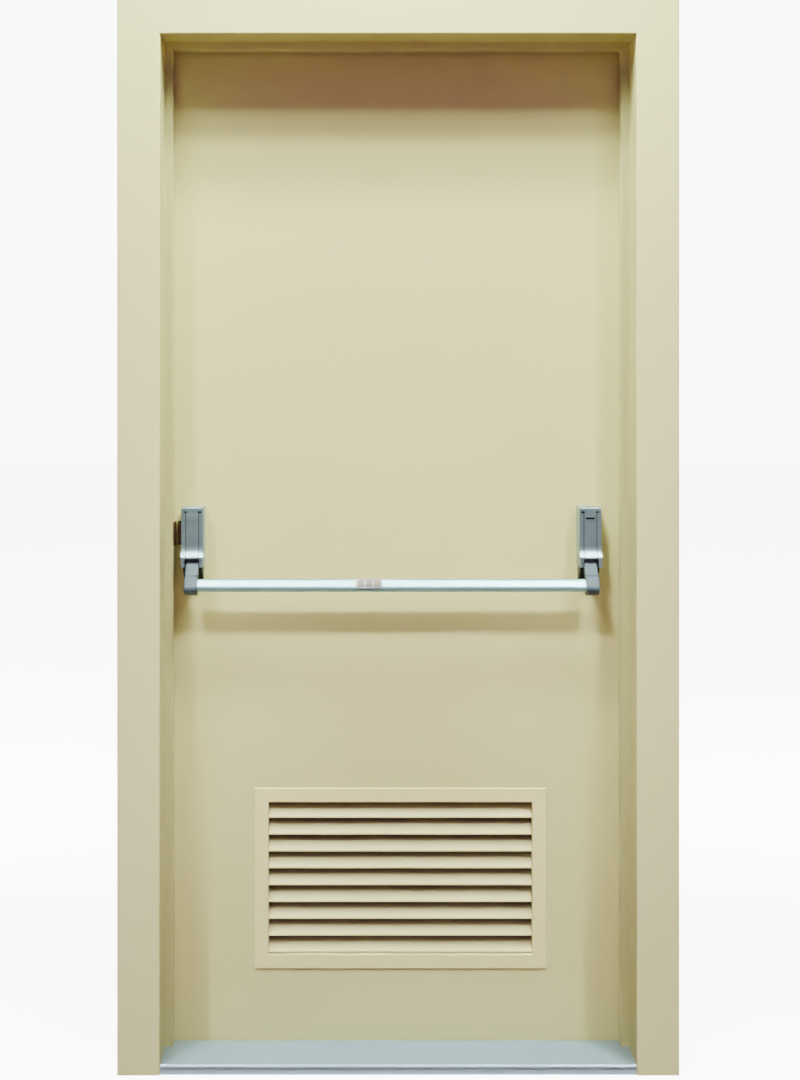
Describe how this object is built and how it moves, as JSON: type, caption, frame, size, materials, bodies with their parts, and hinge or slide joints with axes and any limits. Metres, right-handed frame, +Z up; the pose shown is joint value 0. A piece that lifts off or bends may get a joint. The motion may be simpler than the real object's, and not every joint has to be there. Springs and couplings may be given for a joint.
{
  "type": "hospital lavatory door",
  "caption": "Single-leaf flush steel door in its folded metal frame, with a vent louvre below and a spring-loaded push bar exit device that draws the latch bolt.",
  "frame": {"origin": "underside of the threshold, at the middle of the frame's width and depth", "axes": "+Z up; +X to the right seen from the push side; +Y through the doorway, away from the push side, the way the leaf opens"},
  "size_m": [1.1, 0.165, 2.12],
  "materials": {
    "frame_coat": "satin cream powder coat",
    "leaf_coat": "satin cream powder coat",
    "core_fill": "kraft honeycomb filling",
    "louvre_coat": "satin cream powder coat",
    "sill_steel": "brushed stainless sheet",
    "seal_rubber": "matt black rubber",
    "fixing_zinc": "galvanised",
    "hinge_steel": "satin steel",
    "housing_grey": "satin grey cast housing",
    "chassis_dark": "dark grey pressed steel",
    "arm_grey": "satin grey cast lever",
    "bar_metal": "satin anodised tube",
    "latch_bronze": "dark bronze"
  },
  "bodies": {
    "frame": {"frame_jamb_lock": "frame_coat", "frame_jamb_hinge": "frame_coat", "frame_head": "frame_coat", "threshold": "sill_steel", "seal_lock": "seal_rubber", "seal_hinge": "seal_rubber", "seal_head": "seal_rubber", "wall_anchors_lock": "fixing_zinc", "wall_anchors_hinge": "fixing_zinc", "floor_clip_lock": "fixing_zinc", "floor_clip_hinge": "fixing_zinc", "strike": "latch_bronze", "hinge_low_frame_plate": "hinge_steel", "hinge_mid_frame_plate": "hinge_steel", "hinge_high_frame_plate": "hinge_steel"},
    "leaf": {"leaf_push_skin": "leaf_coat", "leaf_pull_skin": "leaf_coat", "leaf_lock_edge": "leaf_coat", "leaf_hinge_edge": "leaf_coat", "leaf_bottom_channel": "leaf_coat", "leaf_top_channel": "leaf_coat", "core_above_vent": "core_fill", "core_below_vent": "core_fill", "core_lock_side": "core_fill", "core_hinge_side": "core_fill", "louvre_push_surround": "louvre_coat", "louvre_pull_surround": "louvre_coat", "louvre_blades": "louvre_coat", "hinge_low_leaf_plate": "hinge_steel", "hinge_mid_leaf_plate": "hinge_steel", "hinge_high_leaf_plate": "hinge_steel", "chassis_lock": "chassis_dark", "chassis_hinge": "chassis_dark", "cover_lock": "housing_grey", "cover_hinge": "housing_grey"},
    "bolt": {"latch_bolt": "latch_bronze"},
    "bar": {"arm_lock": "arm_grey", "arm_hinge": "arm_grey", "push_bar": "bar_metal"}
  },
  "joints": [
    {"name": "door_swing", "type": "hinge", "parent": "frame", "child": "leaf", "pos_m": [0.4635, 0.083, 0], "axis": [0, 0, -1], "range_deg": [0, 180]},
    {"name": "bar_push", "type": "hinge", "parent": "leaf", "child": "bar", "pos_m": [0, 0.007, 1.01], "axis": [1, 0, 0], "range_deg": [0, 20], "stiffness_Nm_per_rad": 12, "springref_deg": -11.46},
    {"name": "bolt_draw", "type": "slide", "parent": "leaf", "child": "bolt", "axis": [1, 0, 0], "range_m": [0, 0.012]}
  ],
  "couplings": [
    {"joint": "bolt_draw", "follows": "bar_push", "m_per_rad": 0.034374}
  ]
}
